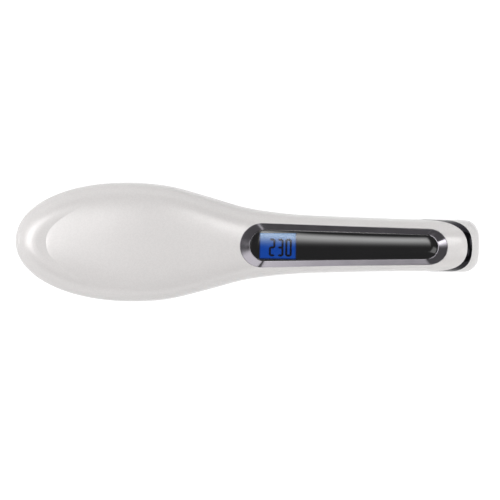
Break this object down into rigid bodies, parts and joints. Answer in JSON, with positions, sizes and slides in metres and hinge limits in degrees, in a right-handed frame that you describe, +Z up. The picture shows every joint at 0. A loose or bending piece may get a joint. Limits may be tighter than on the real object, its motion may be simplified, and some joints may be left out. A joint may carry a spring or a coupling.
{
  "type": "hair straightening brush",
  "caption": "Heated comb brush with a rounded head of bristles, a slim handle with a display panel, three keys underneath and a swivelling cord inlet.",
  "frame": {"origin": "under the middle of the brush, on the plane that the bristle tips and the underside of the handle rest on", "axes": "+X from the tip of the head to the end of the handle, +Y across the brush, +Z up through the back with the display"},
  "size_m": [0.27, 0.069, 0.042],
  "materials": {
    "pearl_white": "gloss pearl white",
    "cap_white": "gloss pearl white",
    "chrome_trim": "polished",
    "ring_dark": "dark chrome, polished",
    "lens_black": "high gloss",
    "lcd_blue": "gloss",
    "light_guide": "frosted",
    "holder_white": "matte",
    "circuit_green": "satin",
    "chip_black": "matte",
    "ribbon_tan": "satin",
    "inset_black": "satin",
    "key_grey": "satin",
    "plunger_black": "matte",
    "switch_steel": "satin",
    "steel_screw": "zinc plated",
    "plug_rubber": "matte",
    "terminal_green": "matte",
    "film_yellow": "satin",
    "can_dark": "satin",
    "heatsink_alloy": "extruded",
    "fuse_glass": "clear",
    "comb_black": "satin",
    "plate_alloy": "anodised dark",
    "bristle_alloy": "ceramic coated",
    "tip_plastic": "satin",
    "cool_nylon": "satin",
    "heater_ceramic": "matte",
    "mica": "satin",
    "clamp_steel": "pressed",
    "shield_alloy": "bright sheet",
    "sensor_glass": "clear",
    "cutout_metal": "satin",
    "lead_red": "silicone",
    "lead_white": "silicone",
    "lead_black": "silicone",
    "gland_black": "satin",
    "ring_brass": "polished",
    "contact_brass": "sprung sheet",
    "block_cream": "matte"
  },
  "bodies": {
    "brush": {"back_cover": "pearl_white", "board_screws": "steel_screw", "bristle_tips": "tip_plastic", "button_board": "circuit_green", "ceramic_heaters": "heater_ceramic", "comb_frame": "comb_black", "contact_block": "block_cream", "contact_springs": "contact_brass", "cool_bristles": "cool_nylon", "cover_screws": "steel_screw", "display_board": "circuit_green", "driver_chip": "chip_black", "end_cap": "cap_white", "end_ring": "ring_dark", "film_capacitor": "film_yellow", "frame_screws": "steel_screw", "front_cover": "pearl_white", "gland_retainer": "clamp_steel", "heat_plate": "plate_alloy", "heat_shield": "shield_alloy", "heated_bristles": "bristle_alloy", "heater_clamp": "clamp_steel", "heater_leads": "lead_red", "key_bezel": "inset_black", "lcd_backlight": "light_guide", "lcd_frame": "holder_white", "lcd_glass": "lcd_blue", "mains_fuse": "fuse_glass", "mains_leads": "lead_black", "mica_sheet": "mica", "panel_bezel": "chrome_trim", "panel_lens": "lens_black", "plate_screws": "steel_screw", "power_board": "circuit_green", "ribbon_cable": "ribbon_tan", "screw_plugs": "plug_rubber", "sensor_leads": "lead_white", "smoothing_capacitor": "can_dark", "switch_bodies": "switch_steel", "terminal_blocks": "terminal_green", "thermal_fuse": "cutout_metal", "thermistor": "sensor_glass", "triac": "chip_black", "triac_heatsink": "heatsink_alloy"},
    "power_key": {"power_button": "key_grey", "power_plunger": "plunger_black"},
    "plus_key": {"plus_button": "key_grey", "plus_plunger": "plunger_black"},
    "minus_key": {"minus_button": "key_grey", "minus_plunger": "plunger_black"},
    "cord_swivel": {"swivel_gland": "gland_black", "slip_rings": "ring_brass"}
  },
  "joints": [
    {"name": "power_press", "type": "slide", "parent": "brush", "child": "power_key", "axis": [0, 0, 1], "range_m": [0, 0.0005], "stiffness_N_per_m": 800, "springref_m": -0.0003},
    {"name": "plus_press", "type": "slide", "parent": "brush", "child": "plus_key", "axis": [0, 0, 1], "range_m": [0, 0.0005], "stiffness_N_per_m": 800, "springref_m": -0.0003},
    {"name": "minus_press", "type": "slide", "parent": "brush", "child": "minus_key", "axis": [0, 0, 1], "range_m": [0, 0.0005], "stiffness_N_per_m": 800, "springref_m": -0.0003},
    {"name": "cord_swivel_turn", "type": "hinge", "parent": "brush", "child": "cord_swivel", "pos_m": [0.1257, 0, 0.0155], "axis": [1, 0, 0], "continuous": true}
  ]
}
